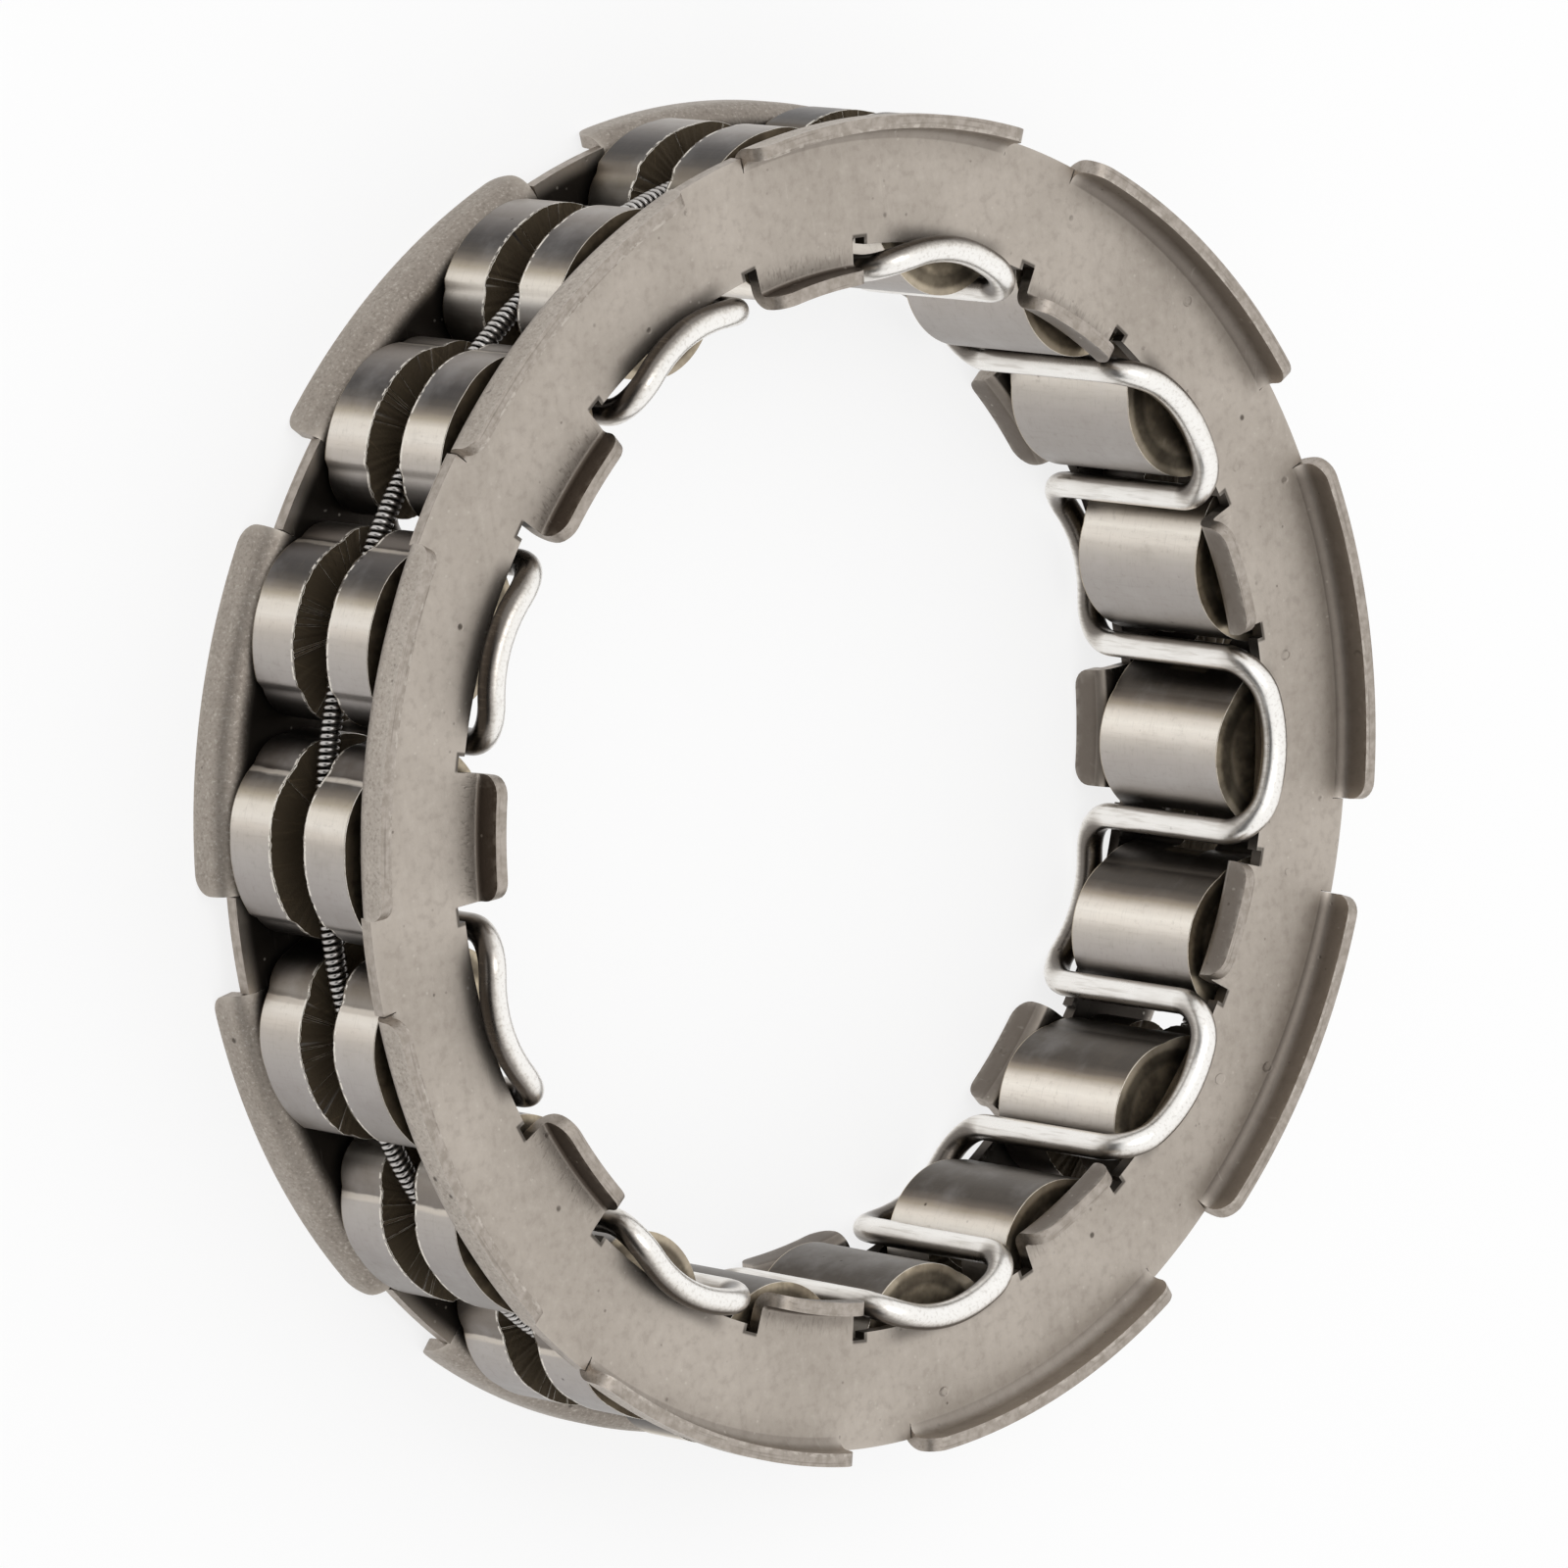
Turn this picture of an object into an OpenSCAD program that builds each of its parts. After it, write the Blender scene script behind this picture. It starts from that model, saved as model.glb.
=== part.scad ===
// Sprag clutch insert: two pressed side plates, eighteen sprags,
// one garter spring and one serpentine wire retainer.
// The clutch axis is Z and the plates lie level. Millimetres.

/* [Plates] */
// Rim radius of a side plate between its outer tabs
rim_r = 36.6; // [36.4:0.1:37.4]
// Radial width of a side plate from its rim to its plain inner edge
plate_w = 6.5; // [6:0.1:7]
// Sheet thickness of the side plates
sheet_t = 0.75; // [0.6:0.05:0.9]
// Inside bend radius of the outer tabs
bend_r = 0.7; // [0.4:0.05:0.8]

/* [Outer tabs] */
// How far the outer tabs stand beyond the rim
tab_step = 0.6; // [0.3:0.05:0.9]
// Length of one outer tab in degrees
tab_angle = 31.4; // [30.5:0.2:33]
// How far the outer tabs rise above the plate face
tab_rise = 1.8; // [1.2:0.1:2.4]
// Corner size of the outer tabs
tab_corner = 1.1; // [0.4:0.1:1.5]
// Width of the slits between the outer tabs and the rim
slit_w = 0.3; // [0.2:0.05:0.6]

/* [Inner tabs] */
// How far the inner tabs stand inside the plain inner edge
lip_step = 1.95; // [1.7:0.05:2.2]
// Length of one inner tab in degrees
lip_angle = 13.6; // [11:0.2:14]
// How far the inner tabs rise above the plate face
lip_rise = 1.5; // [1:0.1:2]
// Corner size of the inner tabs
lip_corner = 0.8; // [0.3:0.1:1]
// Inside bend radius of the inner tabs
lip_bend_r = 0.25; // [0.2:0.05:0.7]
// Depth of the relief notches beside the inner tabs
relief_depth = 0.4; // [0.2:0.05:0.7]
// Width of the relief notches
relief_w = 0.9; // [0.5:0.1:1.1]

/* [Sprags] */
// Axial length of a sprag
sprag_len = 9.5; // [8.5:0.1:11]
// Axial play between a sprag end and a plate
end_play = 0.43; // [0.3:0.01:0.8]
// How far the outer cams stand beyond the plate rims
cam_proud_out = 0.55; // [0.3:0.05:0.6]
// How far the inner cams stand inside the plain inner edges
cam_proud_in = 2.7; // [2.3:0.05:2.8]
// Radius of the long outer cam
long_cam_r = 6.5; // [6:0.1:7]
// Radius of the short outer cam
short_cam_r = 4.6; // [4.4:0.05:4.8]
// Radius of the inner cam
foot_cam_r = 4.5; // [4.2:0.05:4.6]
// Sideways offset of the inner cam, which makes the sprag wedge
cam_offset = 1.0; // [0.6:0.05:1.1]
// Sideways offset of each outer cam from the crest
crest_offset = 0.3; // [0.1:0.05:0.5]
// How far both shoulders sit outside the middle of the sprag
shoulder_rise = 1.0; // [0.8:0.05:1.2]
// Radius of the heel, the shoulder behind the short cam
heel_r = 2.3; // [2:0.1:2.5]
// Sideways distance of the heel centre
heel_side = 3.0; // [2.7:0.05:3.1]
// Radius of the toe, the shoulder behind the long cam
toe_r = 2.6; // [2.3:0.1:2.8]
// Sideways distance of the toe centre
toe_side = 2.85; // [2.6:0.05:2.95]
// Sideways lean of the whole sprag in its window
body_shift = 0.3; // [0:0.05:0.4]
// Width of the spring groove across the outer cam
groove_w = 2.7; // [2.2:0.1:3.4]

/* [Garter spring] */
// Outside diameter of the spring coil
coil_d = 1.2; // [0.9:0.05:1.3]
// Depth of the spring centre line under the outer cams
coil_depth = 2.65; // [2.4:0.05:2.9]
// Gap between the spring and the groove floor
floor_gap = 0.35; // [0.25:0.05:0.6]

/* [Wire retainer] */
// Wire diameter
wire_d = 1.5; // [1.2:0.05:1.6]
// Gap between the axial wire runs and the plain inner edges
run_gap = 0.69; // [0.5:0.01:0.8]
// How far the wire loops lean out over the plates
loop_lean = 1.3; // [0.9:0.05:1.4]
// Gap between a wire loop and the plate face
loop_gap = 0.12; // [0.05:0.01:0.3]
// Bend radius of the wire corners
wire_bend = 2.2; // [1.8:0.1:2.6]

/* [Hidden] */
sprag_pitch = 20;
tab_pitch = 2 * sprag_pitch;
tab_count = 360 / tab_pitch;
sprag_count = 360 / sprag_pitch;
overlap = 0.6;
cut_over = 1;
ring_facets = 72;
cam_facets = 36;
coil_facets = 14;

edge_r = rim_r - plate_w;
plate_in_z = sprag_len / 2 + end_play;
plate_out_z = plate_in_z + sheet_t;
tab_r = rim_r + tab_step;
tab_top = plate_out_z + tab_rise;
lip_r = edge_r - lip_step;
lip_top = plate_out_z + lip_rise;
bend_out = bend_r + sheet_t;
bend_z = plate_in_z + bend_out;
lip_bend_out = lip_bend_r + sheet_t;
lip_bend_z = plate_in_z + lip_bend_out;
gap_angle = tab_pitch - tab_angle;
slit_angle = asin(slit_w / rim_r);

// Sprag outline centres: u is the distance from the axis, v runs sideways
reach_out = rim_r + cam_proud_out;
reach_in = edge_r - cam_proud_in;
middle_u = (reach_out + reach_in) / 2;
heel_u = middle_u + shoulder_rise;
heel_v = body_shift - heel_side;
toe_u = middle_u + shoulder_rise;
toe_v = body_shift + toe_side;
long_cam_v = body_shift + crest_offset;
short_cam_v = body_shift - crest_offset;
toe_cut_v = toe_v + toe_r / 2;
foot_v = body_shift - cam_offset;
coil_ring_r = reach_out - coil_depth;
neck_top = coil_ring_r - coil_d / 2 - floor_gap;
neck_r = 0.4 * (reach_out - reach_in);
neck_u = neck_top - neck_r;
groove_side = 2 * (heel_side + heel_r);

wire_r = wire_d / 2;
run_r = edge_r - run_gap - wire_r;
wire_sides = 8;
corner_steps = 5;
chord_steps = 4;
run_half = run_r * sin(sprag_pitch / 2);
loop_z = plate_out_z + wire_r + loop_gap;
corner_z = loop_z - wire_bend;
chord_half = run_half - wire_bend;

plate_tone = [0.69, 0.66, 0.61];
sprag_tone = [0.60, 0.58, 0.56];
spring_tone = [0.45, 0.44, 0.43];
wire_tone = [0.80, 0.79, 0.77];

// A point list of one wire loop, sideways and axial, from run to run
rise_corner = [for (i = [0 : corner_steps])
    [-run_half + wire_bend * (1 - cos(90 * i / corner_steps)),
     corner_z + wire_bend * sin(90 * i / corner_steps)]];
chord = [for (i = [1 : chord_steps - 1])
    [chord_half * (2 * i / chord_steps - 1), loop_z]];
fall_corner = [for (i = [corner_steps : -1 : 0])
    [-rise_corner[i][0], rise_corner[i][1]]];
loop_line = concat(rise_corner, chord, fall_corner);
loop_points = len(loop_line);
path_points = loop_points * sprag_count;

function lean(s) = run_r + loop_lean * (1 - pow(s / run_half, 2));
function loop_sign(k) = (k % 2 == 0) ? -1 : 1;
function loop_point(k, i) =
    let (s = loop_line[i][0],
         a = sprag_pitch * (k + 0.5) + asin(s / run_r),
         r = lean(s))
    [r * cos(a), r * sin(a), loop_sign(k) * loop_line[i][1]];
wire_path = [for (k = [0 : sprag_count - 1]) for (i = [0 : loop_points - 1])
    loop_point(k, i)];
function unit(v) = v / norm(v);
function path_next(i) = wire_path[(i + 1) % path_points];
function path_prev(i) = wire_path[(i + path_points - 1) % path_points];
function path_dir(i) =
    unit(unit(path_next(i) - wire_path[i]) + unit(wire_path[i] - path_prev(i)));
function outward(i) =
    let (t = path_dir(i), e = unit([wire_path[i][0], wire_path[i][1], 0]))
    unit(e - (e * t) * t);
wire_skin = [for (i = [0 : path_points - 1])
    let (n = outward(i), b = cross(path_dir(i), n))
    for (j = [0 : wire_sides - 1])
        let (w = 360 * (j + 0.5) / wire_sides)
        wire_path[i] + wire_r * (cos(w) * n + sin(w) * b)];
function skin_index(i, j) =
    (i % path_points) * wire_sides + (j % wire_sides);
wire_faces = [for (i = [0 : path_points - 1]) for (j = [0 : wire_sides - 1])
    for (half = [0, 1])
        (half == 0)
        ? [skin_index(i, j), skin_index(i, j + 1), skin_index(i + 1, j + 1)]
        : [skin_index(i, j), skin_index(i + 1, j + 1), skin_index(i + 1, j)]];

// A ring sector with a square section
module sector(r1, r2, z1, z2, start, sweep) {
    rotate([0, 0, start])
        rotate_extrude(angle = sweep, $fn = ring_facets)
            translate([r1, z1])
                square([r2 - r1, z2 - z1]);
}

// Section of an outer tab with its bend
module tab_section() {
    difference() {
        union() {
            translate([tab_r - bend_out - overlap, plate_in_z])
                square([overlap, sheet_t]);
            intersection() {
                translate([tab_r - bend_out, bend_z])
                    circle(r = bend_out, $fn = cam_facets);
                translate([tab_r - bend_out, plate_in_z])
                    square([bend_out, bend_out]);
            }
            translate([tab_r - sheet_t, bend_z])
                square([sheet_t, tab_top - bend_z]);
        }
        translate([tab_r - bend_out, bend_z])
            circle(r = bend_r, $fn = cam_facets);
    }
}

// Section of an inner tab with its bend
module lip_section() {
    difference() {
        union() {
            translate([lip_r + lip_bend_out, plate_in_z])
                square([edge_r - lip_r - lip_bend_out + overlap, sheet_t]);
            intersection() {
                translate([lip_r + lip_bend_out, lip_bend_z])
                    circle(r = lip_bend_out, $fn = cam_facets);
                translate([lip_r, plate_in_z])
                    square([lip_bend_out, lip_bend_out]);
            }
            translate([lip_r, lip_bend_z])
                square([sheet_t, lip_top - lip_bend_z]);
        }
        translate([lip_r + lip_bend_out, lip_bend_z])
            circle(r = lip_bend_r, $fn = cam_facets);
    }
}

// Section of a whole side plate with both bends
module plate_section() {
    tab_section();
    lip_section();
    translate([edge_r, plate_in_z])
        square([tab_r - bend_out - edge_r, sheet_t]);
}

// What trims the free corners of a tab, seen along its radius
module corner_trim(r1, r2, half_w, top, corner) {
    near = corner * (1 - sqrt(0.5));
    far = 2 * corner - near;
    translate([r1, 0, 0])
        rotate([90, 0, 90])
            linear_extrude(height = r2 - r1)
                polygon([[-half_w - cut_over, top + cut_over],
                    [-half_w - cut_over, top - far],
                    [-half_w - near, top - far], [near - half_w, top - near],
                    [far - half_w, top + near], [half_w - far, top + near],
                    [half_w - near, top - near], [half_w + near, top - far],
                    [half_w + cut_over, top - far],
                    [half_w + cut_over, top + cut_over]]);
}

module relief_cuts() {
    side = (lip_r + bend_out) * sin(lip_angle / 2);
    for (s = [-1, 1])
        translate([edge_r - cut_over, s * (side + relief_w / 2) - relief_w / 2,
            plate_in_z - cut_over])
            cube([cut_over + relief_depth, relief_w, sheet_t + 2 * cut_over]);
}

// One side plate, upper position
module side_plate() {
    union() {
        difference() {
            rotate_extrude($fn = ring_facets)
                plate_section();
            for (k = [0 : tab_count - 1]) {
                sector(tab_r - bend_out - overlap / 2, tab_r + cut_over,
                    plate_in_z - cut_over, tab_top + cut_over,
                    k * tab_pitch + tab_angle / 2, gap_angle);
                sector(lip_r - cut_over, edge_r, plate_in_z - cut_over,
                    lip_top + cut_over,
                    k * tab_pitch + (sprag_pitch + lip_angle) / 2,
                    tab_pitch - lip_angle);
                rotate([0, 0, k * tab_pitch])
                    corner_trim(tab_r - bend_out, tab_r + cut_over,
                        (tab_r - sheet_t / 2) * sin(tab_angle / 2),
                        tab_top, tab_corner);
                rotate([0, 0, k * tab_pitch + sprag_pitch / 2]) {
                    corner_trim(lip_r - cut_over, lip_r + bend_out,
                        (lip_r + sheet_t / 2) * sin(lip_angle / 2),
                        lip_top, lip_corner);
                    relief_cuts();
                }
            }
        }
        for (k = [0 : tab_count - 1])
            sector(tab_r - bend_out - overlap, rim_r, plate_in_z,
                plate_out_z, k * tab_pitch + tab_angle / 2 + slit_angle,
                gap_angle - 2 * slit_angle);
    }
}

// Sprag outline in the place of a sprag on the X axis
module sprag_outline() {
    union() {
        translate([reach_out - short_cam_r, short_cam_v])
            circle(r = short_cam_r, $fn = cam_facets);
        translate([heel_u, heel_v])
            circle(r = heel_r, $fn = cam_facets);
        translate([toe_u, toe_v])
            circle(r = toe_r, $fn = cam_facets);
        translate([reach_in + foot_cam_r, foot_v])
            circle(r = foot_cam_r, $fn = cam_facets);
        intersection() {
            translate([reach_out - long_cam_r, long_cam_v])
                circle(r = long_cam_r, $fn = cam_facets);
            polygon([[toe_u, heel_v], [reach_out + cut_over, heel_v],
                [reach_out + cut_over, toe_cut_v - cut_over],
                [toe_u, toe_cut_v + toe_r / 2]]);
        }
    }
}

module groove_outline() {
    difference() {
        translate([neck_u, -groove_side])
            square([reach_out + cut_over - neck_u, 2 * groove_side]);
        translate([neck_u, body_shift])
            circle(r = neck_r, $fn = cam_facets);
    }
}

module sprag(index) {
    color(sprag_tone)
        rotate([0, 0, sprag_pitch * (index - 0.5)])
            difference() {
                linear_extrude(height = sprag_len, center = true)
                    sprag_outline();
                linear_extrude(height = groove_w, center = true)
                    groove_outline();
            }
}

module front_plate() {
    color(plate_tone)
        side_plate();
}

module back_plate() {
    color(plate_tone)
        rotate([180, 0, 0])
            side_plate();
}

module wire_retainer() {
    color(wire_tone)
        polyhedron(points = wire_skin, faces = wire_faces);
}

module garter_spring() {
    color(spring_tone)
        rotate_extrude($fn = ring_facets)
            translate([coil_ring_r, 0])
                circle(r = coil_d / 2, $fn = coil_facets);
}

module sprag_01() { sprag(1); }
module sprag_02() { sprag(2); }
module sprag_03() { sprag(3); }
module sprag_04() { sprag(4); }
module sprag_05() { sprag(5); }
module sprag_06() { sprag(6); }
module sprag_07() { sprag(7); }
module sprag_08() { sprag(8); }
module sprag_09() { sprag(9); }
module sprag_10() { sprag(10); }
module sprag_11() { sprag(11); }
module sprag_12() { sprag(12); }
module sprag_13() { sprag(13); }
module sprag_14() { sprag(14); }
module sprag_15() { sprag(15); }
module sprag_16() { sprag(16); }
module sprag_17() { sprag(17); }
module sprag_18() { sprag(18); }

front_plate();
back_plate();
wire_retainer();
garter_spring();
sprag_01();
sprag_02();
sprag_03();
sprag_04();
sprag_05();
sprag_06();
sprag_07();
sprag_08();
sprag_09();
sprag_10();
sprag_11();
sprag_12();
sprag_13();
sprag_14();
sprag_15();
sprag_16();
sprag_17();
sprag_18();
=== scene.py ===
import math

import bmesh
import bpy
import numpy as np
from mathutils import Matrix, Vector


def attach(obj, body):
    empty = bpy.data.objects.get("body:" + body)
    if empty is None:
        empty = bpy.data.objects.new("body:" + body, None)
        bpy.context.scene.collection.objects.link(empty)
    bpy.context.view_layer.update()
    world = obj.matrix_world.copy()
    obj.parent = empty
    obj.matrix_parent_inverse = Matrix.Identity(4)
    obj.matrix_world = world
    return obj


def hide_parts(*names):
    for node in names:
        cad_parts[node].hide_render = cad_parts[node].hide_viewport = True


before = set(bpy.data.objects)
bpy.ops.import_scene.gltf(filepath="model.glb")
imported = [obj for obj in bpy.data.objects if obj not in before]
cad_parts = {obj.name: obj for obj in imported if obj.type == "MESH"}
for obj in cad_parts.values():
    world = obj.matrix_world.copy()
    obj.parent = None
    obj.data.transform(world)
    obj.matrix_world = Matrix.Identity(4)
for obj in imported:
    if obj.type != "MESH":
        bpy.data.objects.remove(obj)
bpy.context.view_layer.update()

# Sizes of the clutch in millimetres and degrees, the same as in the part's source, but for the slits
# beside the outer tabs, which are narrower here, and the inner tabs' corners, which are rounder
MM = 0.001
SPRAG_PITCH = 20.0
SPRAGS = 18
TABS = 9

# The side plates: sheet, bends, outer tabs, inner tabs (here called lips) and notches
SHEET = 0.75
PLATE_Z = 5.18 + SHEET / 2
RIM_R = 36.6
EDGE_R = 30.1
FLAT_R = 35.75
BEND_R = 0.7 + SHEET / 2
BEND_Z = PLATE_Z + BEND_R
LIP_BEND_R = 0.25 + SHEET / 2
LIP_BEND_Z = PLATE_Z + LIP_BEND_R
TAB_R = 37.2 - SHEET / 2
TAB_HALF = 15.7
TAB_TOP = 7.73
TAB_CORNER = 1.09
SLIT = 0.07
LIP_R = 28.15 + SHEET / 2
LIP_AT = 10.0
LIP_HALF = 6.8
LIP_TOP = 7.43
LIP_CORNER = 1.15
NOTCH_ANGLE = 1.65
NOTCH_R = 30.5
LOOP_AT = 30.0
SHEET_ROUND = 0.09

# One sprag, in its own u (outward) and v (sideways); each round part is u, v and radius of a circle.
# The outline has a point every SPRAG_STEP degrees; a burr's wavy part is smoothed over BURR_SPAN points.
SPRAG_HALF = 4.75
GROOVE_HALF = 1.35
SPRAG_U, SPRAG_V = 32.4, 0.3
SHORT_CAM = (32.55, 0.0, 4.6)
LONG_CAM = (30.65, 0.6, 6.5)
LONG_CAM_END_V = 5.75
TOE_SLOPE = 4.875 / 2.3
HEEL = (33.275, -2.7, 2.3)
TOE = (33.275, 3.15, 2.6)
FOOT = (31.9, -0.7, 4.5)
NECK = (29.65, 0.3, 3.9)
SPRAG_ROUND = 0.07
SPRAG_STEP = 1.5
BURR_JAGGED = 0.03
BURR_WAVY = 0.05
BURR_SPAN = 9

# The garter spring's turns
COIL_RING_R = 34.5
COIL_R = 0.6
COIL_WIRE_R = 0.15
COIL_TURNS = 572

# The serpentine wire
WIRE_R = 0.75
RUN_R = 28.66
LOOP_LEAN = 1.3
LOOP_Z = 6.80
WIRE_BEND = 2.2
RUN_HALF = RUN_R * math.sin(math.radians(SPRAG_PITCH / 2))

# Where the painted light band starts on the outer and on the inner cam of each sprag, across the sprag.
# The places follow the photograph, in which they are partly reflections; on the sprags that it doesn't
# show they are made up.
CAM_BANDS = [0.4, 2.1, -1.2, 5.2, 5.0, 3.7, 1.9, -0.25, -2.3,
             -4.2, -6.2, -6.5, -1.6, 0.9, 1.8, -0.4, -2.2, 0.2]
FOOT_BANDS = [3.4, 4.5, 5.2, 5.0, 3.6, 2.2, 1.0, 3.9, 2.6,
              1.8, 3.0, 2.4, -5.0, -4.0, -2.6, -1.25, 0.3, 1.65]

# Tones of the cams: a painted light band, partly a painted reflection, and painted shade on the flanks,
# over the ground steel's grey: millimetres from the start of the light band, then red, green and blue as
# they look on screen
CAM_PAINTED_LIGHT_TONES = [
    (-6.5, 198, 191, 184), (-5.5, 168, 161, 154), (-4.6, 150, 143, 137), (-3.8, 132, 125, 119),
    (-3.2, 112, 106, 101), (-2.5, 92, 87, 84), (-1.8, 74, 70, 68), (-1.2, 74, 70, 67),
    (-0.7, 92, 86, 80), (-0.25, 130, 121, 110), (0.15, 178, 167, 150), (0.6, 228, 220, 208),
    (1.3, 233, 226, 216), (1.8, 214, 205, 194), (2.3, 190, 182, 173), (2.8, 184, 177, 170),
    (3.8, 175, 169, 164), (4.9, 165, 159, 155), (6.0, 152, 146, 142), (8.5, 138, 132, 127)]
# Tones of the feet, in the same columns: a painted light band, partly a painted reflection, with painted
# shade beside it
FOOT_PAINTED_LIGHT_TONES = [
    (-4, 104, 98, 91), (-1.7, 80, 74, 68), (-0.9, 82, 76, 70), (-0.4, 112, 103, 94),
    (0, 168, 156, 140), (0.45, 230, 221, 209), (0.95, 250, 243, 232), (1.45, 238, 230, 219),
    (1.9, 208, 200, 190), (2.4, 190, 183, 175), (3, 179, 172, 166), (4, 170, 164, 159),
    (6, 160, 154, 149), (8, 150, 144, 139)]

# Painted highlight and shade round the wire: the mesh's own value from -1, the side with the painted
# highlight, to 1, the side it lies on, in painted shade
WIRE_PAINTED_LIGHT_TONES = [
    (-1, 250, 248, 244), (-0.75, 244, 241, 236), (-0.6, 220, 215, 208), (-0.45, 168, 162, 155),
    (-0.3, 124, 118, 112), (0, 104, 98, 92), (0.6, 84, 78, 72)]

# The stage: places in metres, turns in degrees, the lens and its sensor in millimetres
CAMERA_AT = (-0.409095, 0.155287, 0.468717)
CAMERA_TURN = (-7.3095, -42.4386, -10.0688)
CAMERA_LENS = 266.4
CAMERA_SENSOR = 36
CAMERA_CLIP = (0.05, 20)
FLOOR_Z = -7.76 * MM
FLOOR_HALF = 3.0
FLOOR_GREY = (0.9, 0.9, 0.9, 1)
CARD_AT = (-0.52, 0.05, 0.19)
CARD_WIDTH = 0.9
CARD_HEIGHT = 0.30
CARD_GREY = (0.03, 0.03, 0.03, 1)
LAMP_AT = (-0.25, 0.30, 0.75)
LAMP_SIZE = 0.4
LAMP_POWER = 1.0
WHITE = (1, 1, 1, 1)


class Signal:
    """A shader socket on which plain arithmetic adds Math nodes."""

    def __init__(self, finish, socket):
        self.finish = finish
        self.socket = socket

    def __add__(self, other):
        return self.finish.maths("ADD", self, other)

    def __radd__(self, other):
        return self.finish.maths("ADD", other, self)

    def __sub__(self, other):
        return self.finish.maths("SUBTRACT", self, other)

    def __rsub__(self, other):
        return self.finish.maths("SUBTRACT", other, self)

    def __mul__(self, other):
        return self.finish.maths("MULTIPLY", self, other)

    def __rmul__(self, other):
        return self.finish.maths("MULTIPLY", other, self)

    def __truediv__(self, other):
        return self.finish.maths("DIVIDE", self, other)

    def __pow__(self, other):
        return self.finish.maths("POWER", self, other)

    def __abs__(self):
        return self.finish.maths("ABSOLUTE", self)

    def at_least(self, low):
        return self.finish.maths("MAXIMUM", self, low)

    def clamp(self):
        return self.finish.maths("ADD", self, 0.0, clamp=True)

    def rise(self, low, high):
        """0 below low, 1 above high and a smooth step between them; it falls where high is below low."""
        if high < low:
            return 1 - self.rise(high, low)
        return self.finish.node("ShaderNodeMapRange", {"interpolation_type": "SMOOTHSTEP"},
                                {0: self, 1: low, 2: high})


class Finish:
    """The nodes of one material or of the world."""

    def __init__(self, owner):
        owner.use_nodes = True
        self.owner = owner
        self.tree = owner.node_tree
        self.tree.nodes.clear()
        self.place = None

    def node(self, kind, settings=(), inputs=(), output=0):
        made = self.tree.nodes.new(kind)
        for key, value in dict(settings).items():
            if key == "stops":
                ramp_stops(made.color_ramp, value)
            else:
                setattr(made, key, value)
        for key, value in dict(inputs).items():
            if isinstance(value, Signal):
                self.tree.links.new(value.socket, made.inputs[key])
            else:
                made.inputs[key].default_value = value
        return Signal(self, made.outputs[output]) if len(made.outputs) else None

    def maths(self, operation, first, second=0.0, clamp=False):
        return self.node("ShaderNodeMath", {"operation": operation, "use_clamp": clamp},
                         {0: first, 1: second})

    def combined(self, x, y, z):
        return self.node("ShaderNodeCombineXYZ", {}, {0: x, 1: y, 2: z})

    def stretched(self, x, y, z):
        """The place with each axis scaled by itself, for scratches and grinding lines."""
        return self.node("ShaderNodeMapping", {"vector_type": "POINT"},
                         {"Vector": self.place, "Scale": (x, y, z)})

    def noise(self, scale, detail=2.0, rough=0.5, vector=None):
        """A cloudy pattern round 0.5; detail counts its finer layers and rough is how much they show."""
        return self.node("ShaderNodeTexNoise", {}, {
            "Vector": vector or self.place, "Scale": scale, "Detail": detail, "Roughness": rough})

    def cells(self, scale, vector=None):
        """Distance to the nearest scattered point, in cells."""
        return self.node("ShaderNodeTexVoronoi", {"feature": "F1"}, {
            "Vector": vector or self.place, "Scale": scale, "Randomness": 1.0})

    def ramp(self, value, low, high, tones):
        """A colour that follows a value from low to high through rows of value, red, green and blue."""
        stops = [((at - low) / (high - low), tone(*screen)) for at, *screen in tones]
        return self.node("ShaderNodeValToRGB", {"stops": stops}, {0: (value - low) / (high - low)})

    def axes(self):
        """x, y and z of the place on the clutch, in millimetres."""
        split = self.node("ShaderNodeSeparateXYZ", {}, {0: self.place}).socket.node
        return [Signal(self, part) * (1 / MM) for part in split.outputs]

    def polar(self, x, y, z, along, across, upward):
        """Coordinates round the ring: millimetres along it, across it and up, each scaled by itself."""
        middle_r = 33.0
        turn = self.maths("ARCTAN2", y, x) * middle_r
        return self.combined(turn * along, (x * x + y * y) ** 0.5 * across, z * upward)

    def attribute(self, name):
        return self.node("ShaderNodeAttribute", {"attribute_name": name}, output="Fac")

    def mix(self, first, second, share):
        return self.node("ShaderNodeMix", {"data_type": "RGBA"}, {0: share, 6: first, 7: second}, output=2)

    def layered(self, colour, *layers):
        """The colour with layers over it, each a colour and the share it covers."""
        for over, share in layers:
            colour = self.mix(colour, over, share)
        return colour

    def bump(self, height):
        """A normal from a height in millimetres."""
        return self.node("ShaderNodeBump", {}, {"Strength": 1.0, "Distance": MM, "Height": height})

    def steel(self, colour, roughness, normal, metallic=1.0):
        self.show(self.node("ShaderNodeBsdfPrincipled", {}, {
            "Base Color": colour, "Roughness": roughness, "Normal": normal, "Metallic": metallic}))
        return self.owner

    def show(self, shader, output="ShaderNodeOutputMaterial"):
        self.node(output, {}, {"Surface": shader})


def surface(name):
    """The finish of a new material, whose patterns lie in the clutch's own coordinates."""
    f = Finish(bpy.data.materials.new(name))
    f.place = f.node("ShaderNodeTexCoord", output="Object")
    return f


def ramp_stops(ramp, stops):
    """Sets a ramp's stops from pairs of place and colour."""
    while len(ramp.elements) < len(stops):
        ramp.elements.new(0.5)
    for element, (place, colour) in zip(ramp.elements, stops):
        element.position = place
        element.color = colour


def tone(red, green, blue):
    """A colour written as it looks on screen, 0 to 255, as the linear values that shaders take."""
    return tuple(((c / 255 + 0.055) / 1.055) ** 2.4 for c in (red, green, blue)) + (1.0,)


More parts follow.
